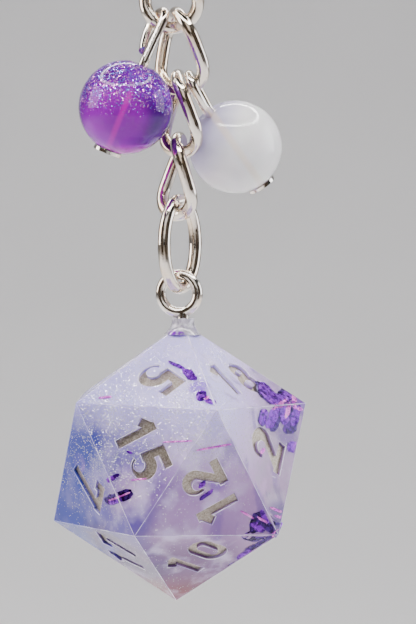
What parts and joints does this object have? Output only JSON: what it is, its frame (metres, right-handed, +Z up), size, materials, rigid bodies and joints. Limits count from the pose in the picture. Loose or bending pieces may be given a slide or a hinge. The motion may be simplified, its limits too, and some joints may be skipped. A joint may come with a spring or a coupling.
{
  "type": "twenty-sided die charm",
  "caption": "Cast resin twenty-sided die with paint-filled numerals, hung by an eye pin from a twisted chain that also carries bead dangles.",
  "frame": {"origin": "inner top of the top chain link, where a hook or key ring carries the charm", "axes": "+Z up along the hanging chain, +X to the right of the front view, +Y away from the viewer"},
  "size_m": [0.0216, 0.0205, 0.0563],
  "materials": {
    "chain_metal": "polished nickel-silver plated steel",
    "pin_metal": "polished silver-plated wire",
    "die_resin": "milky translucent lavender resin with fine glitter",
    "neck_resin": "clear glossy resin",
    "numeral_paint": "silver-grey metallic paint",
    "foil": "violet metallic foil",
    "purple_resin": "deep purple translucent with glitter",
    "white_resin": "milky opal white"
  },
  "bodies": {
    "top_link": {"chain_link_1": "chain_metal"},
    "link_2": {"chain_link_2": "chain_metal"},
    "link_3": {"chain_link_3": "chain_metal"},
    "link_4": {"chain_link_4": "chain_metal"},
    "ring": {"jump_ring": "chain_metal"},
    "die": {"die_body": "die_resin", "eye_pin": "pin_metal", "resin_neck": "neck_resin", "numeral_18": "numeral_paint", "numeral_4": "numeral_paint", "numeral_11": "numeral_paint", "numeral_13": "numeral_paint", "numeral_5": "numeral_paint", "numeral_2": "numeral_paint", "numeral_12": "numeral_paint", "numeral_15": "numeral_paint", "numeral_7": "numeral_paint", "numeral_20": "numeral_paint", "numeral_14": "numeral_paint", "numeral_6": "numeral_paint", "numeral_9": "numeral_paint", "numeral_19": "numeral_paint", "numeral_1": "numeral_paint", "numeral_10": "numeral_paint", "numeral_8": "numeral_paint", "numeral_16": "numeral_paint", "numeral_3": "numeral_paint", "numeral_17": "numeral_paint", "foil_upper_right": "foil", "foil_lower_right": "foil", "foil_front": "foil"},
    "purple_pin": {"pin_purple": "pin_metal"},
    "purple_bead": {"bead_purple": "purple_resin"},
    "white_pin": {"pin_white": "pin_metal"},
    "white_bead": {"bead_white": "white_resin"}
  },
  "joints": [
    {"name": "link_2_swing", "type": "hinge", "parent": "top_link", "child": "link_2", "pos_m": [0.00038, 0.00013, -0.00601], "axis": [0.9303, 0.3206, 0.1779], "range_deg": [-20, 20]},
    {"name": "link_3_swing", "type": "hinge", "parent": "link_2", "child": "link_3", "pos_m": [0.00054, 0.00031, -0.01009], "axis": [0.1044, 0.9945, 0.0051], "range_deg": [0, 4]},
    {"name": "link_4_swing", "type": "hinge", "parent": "link_3", "child": "link_4", "pos_m": [0.00062, 0.00049, -0.01667], "axis": [0.8017, -0.5902, -0.0944], "range_deg": [-10, 10]},
    {"name": "ring_swing", "type": "hinge", "parent": "link_4", "child": "ring", "pos_m": [0.00069, 0.00022, -0.022], "axis": [0.7372, -0.6583, 0.1523], "range_deg": [-25, 25]},
    {"name": "die_swing", "type": "hinge", "parent": "ring", "child": "die", "pos_m": [0.00066, 0.00018, -0.02712], "axis": [0.97, -0.2419, -0.0237], "range_deg": [-30, 20]},
    {"name": "purple_dangle_swing", "type": "hinge", "parent": "top_link", "child": "purple_pin", "pos_m": [-0.00125, -0.00036, -0.00564], "axis": [0.8112, 0.113, -0.5738], "range_deg": [-20, 0]},
    {"name": "purple_bead_spin", "type": "hinge", "parent": "purple_pin", "child": "purple_bead", "pos_m": [-0.00388, -0.00219, -0.01284], "axis": [0.3829, -0.0689, 0.9212], "continuous": true},
    {"name": "white_dangle_swing", "type": "hinge", "parent": "link_2", "child": "white_pin", "pos_m": [0.00198, -0.00021, -0.01101], "axis": [0.764, -0.3736, 0.526], "range_deg": [0, 8]},
    {"name": "white_bead_spin", "type": "hinge", "parent": "white_pin", "child": "white_bead", "pos_m": [0.00546, 0.00238, -0.01621], "axis": [-0.5577, -0.2256, 0.7988], "continuous": true}
  ]
}
